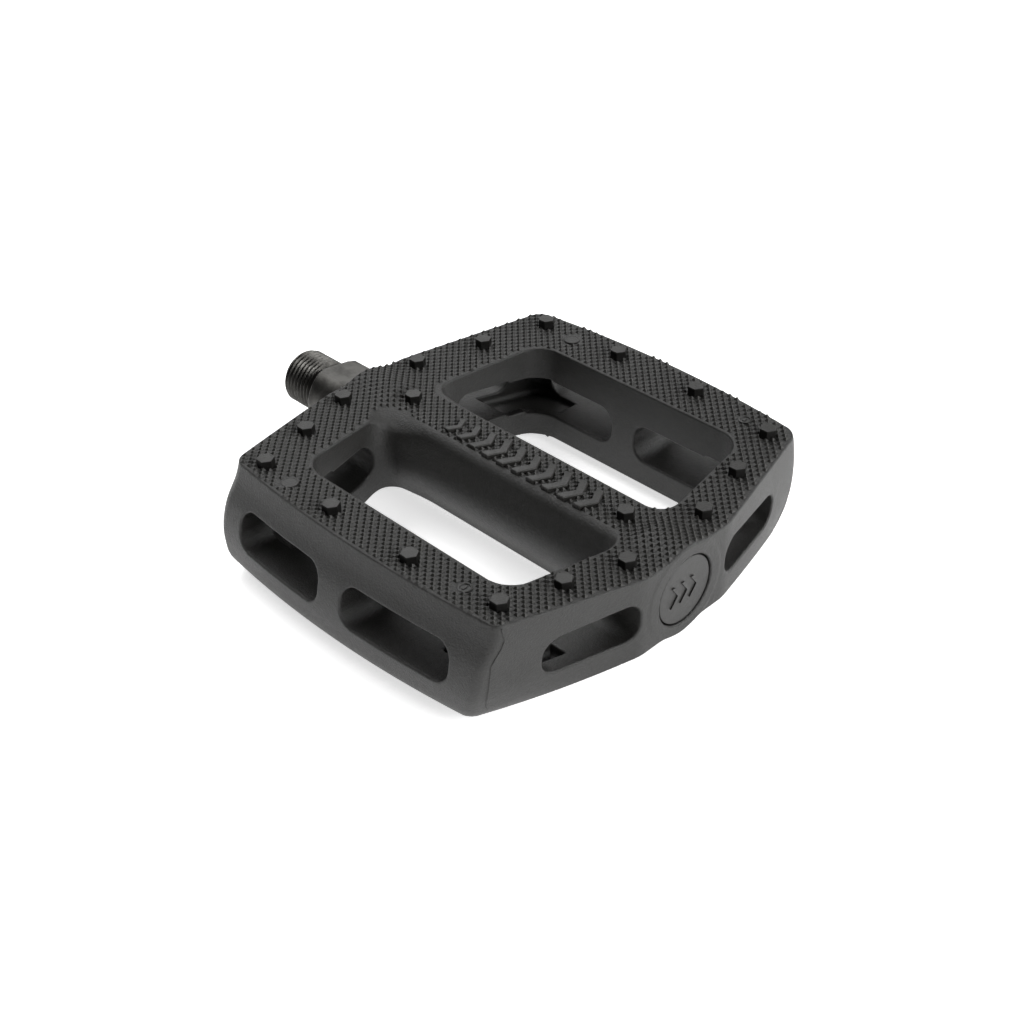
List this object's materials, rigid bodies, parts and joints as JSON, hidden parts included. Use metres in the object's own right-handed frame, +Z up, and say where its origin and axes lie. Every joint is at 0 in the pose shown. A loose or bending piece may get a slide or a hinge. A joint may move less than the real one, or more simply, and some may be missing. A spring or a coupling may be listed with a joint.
{
  "type": "flat pedal",
  "caption": "Bicycle platform pedal: dished black nylon deck with hexagonal grip pins, two foot-bed cut-outs, side windows, threaded steel spindle.",
  "frame": {"origin": "on the spindle's axis, at the inner end of the crank thread", "axes": "+X along the spindle away from the crank, +Z up through the standing face, +Y to the rear edge"},
  "size_m": [0.1283, 0.1098, 0.032],
  "materials": {
    "moulded_nylon": "fine moulded grain",
    "cap_plastic": "satin",
    "seal_rubber": "matte",
    "spindle_steel": "black oxide",
    "race_steel": "ground",
    "fastener_steel": "zinc",
    "ball_steel": "polished"
  },
  "bodies": {
    "spindle": {"spindle": "spindle_steel", "adjusting_cone": "race_steel", "lock_washer": "fastener_steel", "lock_nut": "fastener_steel"},
    "platform": {"body": "moulded_nylon", "end_cap": "cap_plastic", "dust_seal": "seal_rubber", "inboard_cup": "race_steel", "outboard_cup": "race_steel"},
    "inboard_balls": {"inboard_ball_1": "ball_steel", "inboard_ball_2": "ball_steel", "inboard_ball_3": "ball_steel", "inboard_ball_4": "ball_steel", "inboard_ball_5": "ball_steel", "inboard_ball_6": "ball_steel", "inboard_ball_7": "ball_steel", "inboard_ball_8": "ball_steel", "inboard_ball_9": "ball_steel", "inboard_ball_10": "ball_steel"},
    "outboard_balls": {"outboard_ball_1": "ball_steel", "outboard_ball_2": "ball_steel", "outboard_ball_3": "ball_steel", "outboard_ball_4": "ball_steel", "outboard_ball_5": "ball_steel", "outboard_ball_6": "ball_steel", "outboard_ball_7": "ball_steel", "outboard_ball_8": "ball_steel", "outboard_ball_9": "ball_steel"}
  },
  "joints": [
    {"name": "pedal_spin", "type": "hinge", "parent": "spindle", "child": "platform", "pos_m": [0.06, 0, 0], "axis": [1, 0, 0], "continuous": true},
    {"name": "inboard_ball_orbit", "type": "hinge", "parent": "spindle", "child": "inboard_balls", "pos_m": [0.0192, 0, 0], "axis": [1, 0, 0], "continuous": true},
    {"name": "outboard_ball_orbit", "type": "hinge", "parent": "spindle", "child": "outboard_balls", "pos_m": [0.098, 0, 0], "axis": [1, 0, 0], "continuous": true}
  ],
  "couplings": [
    {"joint": "inboard_ball_orbit", "follows": "pedal_spin", "ratio": 0.6063},
    {"joint": "outboard_ball_orbit", "follows": "pedal_spin", "ratio": 0.6189}
  ]
}
